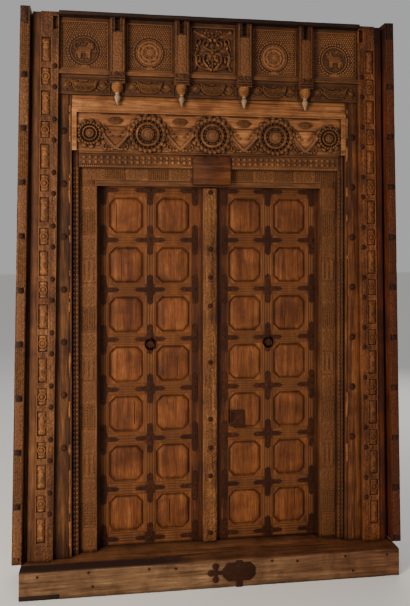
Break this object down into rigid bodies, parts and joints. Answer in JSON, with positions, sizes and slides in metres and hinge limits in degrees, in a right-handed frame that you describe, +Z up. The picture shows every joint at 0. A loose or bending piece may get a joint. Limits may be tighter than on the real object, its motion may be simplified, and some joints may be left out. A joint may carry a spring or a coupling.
{
  "type": "carved double door with frame",
  "caption": "Carved wooden temple double door in its stepped frame: panelled leaves on pivots with iron straps and ring pulls, a rosette frieze, a medallion crown and a heavy sill.",
  "frame": {"origin": "middle of the sill's underside, halfway along its length and its depth", "axes": "+Z up, +X to the right as seen from the front, the carved front faces -Y"},
  "size_m": [1.982, 0.364, 2.85],
  "materials": {
    "frame_wood": "weathered, dry",
    "leaf_wood": "worn oil",
    "dark_wood": "dark, grimy",
    "sill_wood": "weathered, bare",
    "drop_wood": "pale, bare",
    "iron": "dark, forged"
  },
  "bodies": {
    "frame": {"bead_head": "dark_wood", "bead_strip_left": "dark_wood", "bead_strip_right": "dark_wood", "bracket_1": "frame_wood", "bracket_2": "frame_wood", "bracket_3": "frame_wood", "bracket_4": "frame_wood", "carved_pilaster_left": "frame_wood", "carved_pilaster_right": "frame_wood", "cove_strip_left": "dark_wood", "cove_strip_right": "dark_wood", "crown_beam": "frame_wood", "crown_cap": "frame_wood", "frame_studs": "iron", "frieze_panel": "frame_wood", "inner_jamb_left": "frame_wood", "inner_jamb_right": "frame_wood", "inner_lintel": "frame_wood", "lintel_centre_block": "dark_wood", "medallion_panel_1": "frame_wood", "medallion_panel_2": "frame_wood", "medallion_panel_3": "frame_wood", "medallion_panel_4": "frame_wood", "medallion_panel_5": "frame_wood", "outer_post_left": "frame_wood", "outer_post_right": "frame_wood", "pendant_drop_1": "drop_wood", "pendant_drop_2": "drop_wood", "pendant_drop_3": "drop_wood", "pendant_drop_4": "drop_wood", "plain_head_rail": "frame_wood", "plain_post_left": "frame_wood", "plain_post_right": "frame_wood", "relief_panel_1": "frame_wood", "relief_panel_2": "frame_wood", "relief_panel_3": "frame_wood", "relief_panel_4": "frame_wood", "relief_panel_5": "frame_wood", "sill": "sill_wood", "sill_hasp_plate": "iron"},
    "left_leaf": {"left_astragal": "leaf_wood", "left_astragal_studs": "iron", "left_hinge_stile": "leaf_wood", "left_meeting_stile": "leaf_wood", "left_muntins": "leaf_wood", "left_panels": "leaf_wood", "left_rails": "leaf_wood", "left_ring_eye": "iron", "left_straps": "iron"},
    "right_leaf": {"right_hinge_stile": "leaf_wood", "right_lock_plate": "iron", "right_meeting_stile": "leaf_wood", "right_muntins": "leaf_wood", "right_panels": "leaf_wood", "right_rails": "leaf_wood", "right_ring_eye": "iron", "right_straps": "iron"},
    "left_ring": {"left_ring": "iron"},
    "right_ring": {"right_ring": "iron"}
  },
  "joints": [
    {"name": "left_leaf_swing", "type": "hinge", "parent": "frame", "child": "left_leaf", "pos_m": [-0.584, 0.08, 1.071], "axis": [0, 0, 1], "range_deg": [0, 95]},
    {"name": "right_leaf_swing", "type": "hinge", "parent": "frame", "child": "right_leaf", "pos_m": [0.584, 0.08, 1.071], "axis": [0, 0, -1], "range_deg": [0, 95]},
    {"name": "left_ring_swing", "type": "hinge", "parent": "left_leaf", "child": "left_ring", "pos_m": [-0.3125, 0.04, 1.19858], "axis": [-1, 0, 0], "range_deg": [0, 165]},
    {"name": "right_ring_swing", "type": "hinge", "parent": "right_leaf", "child": "right_ring", "pos_m": [0.3125, 0.04, 1.19858], "axis": [-1, 0, 0], "range_deg": [0, 165]}
  ]
}
